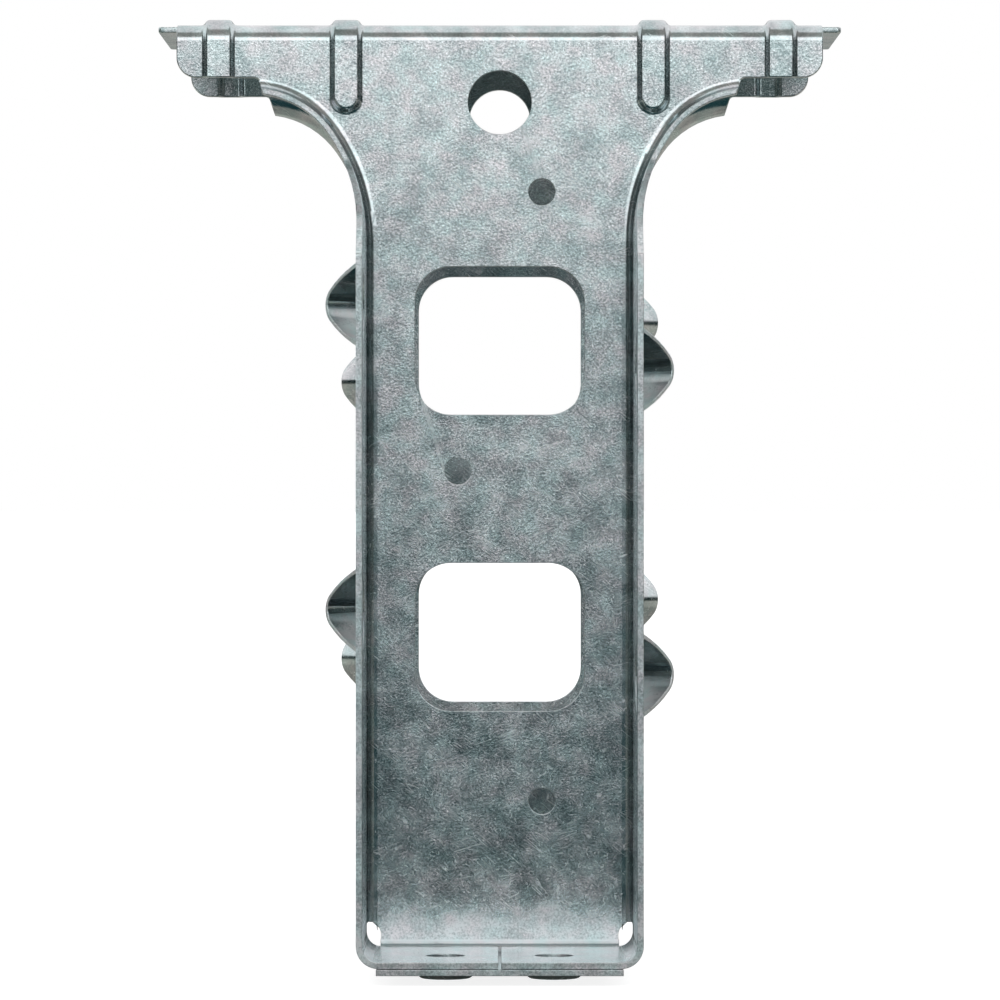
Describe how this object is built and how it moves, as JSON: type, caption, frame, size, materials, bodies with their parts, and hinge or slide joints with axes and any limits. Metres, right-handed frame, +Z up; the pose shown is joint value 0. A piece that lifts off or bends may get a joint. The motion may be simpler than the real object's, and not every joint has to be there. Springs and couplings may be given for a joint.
{
  "type": "saddle hanger",
  "caption": "Saddle hanger folded from galvanised sheet steel: a top flange lies over a beam, and down each face a windowed plate carries a purlin in an open channel with a seat.",
  "frame": {"origin": "middle of the top flange's underside, where it lies on the beam", "axes": "+Z up, X along the beam, Y across it; each channel opens along Y, one to -Y and one to +Y"},
  "size_m": [0.1028, 0.1068, 0.142],
  "materials": {
    "galvanised_sheet": "hot-dip galvanised with a fine mottled spangle, smoother and brighter at the folds"
  },
  "bodies": {
    "root": {"saddle_hanger": "galvanised_sheet"}
  },
  "joints": []
}
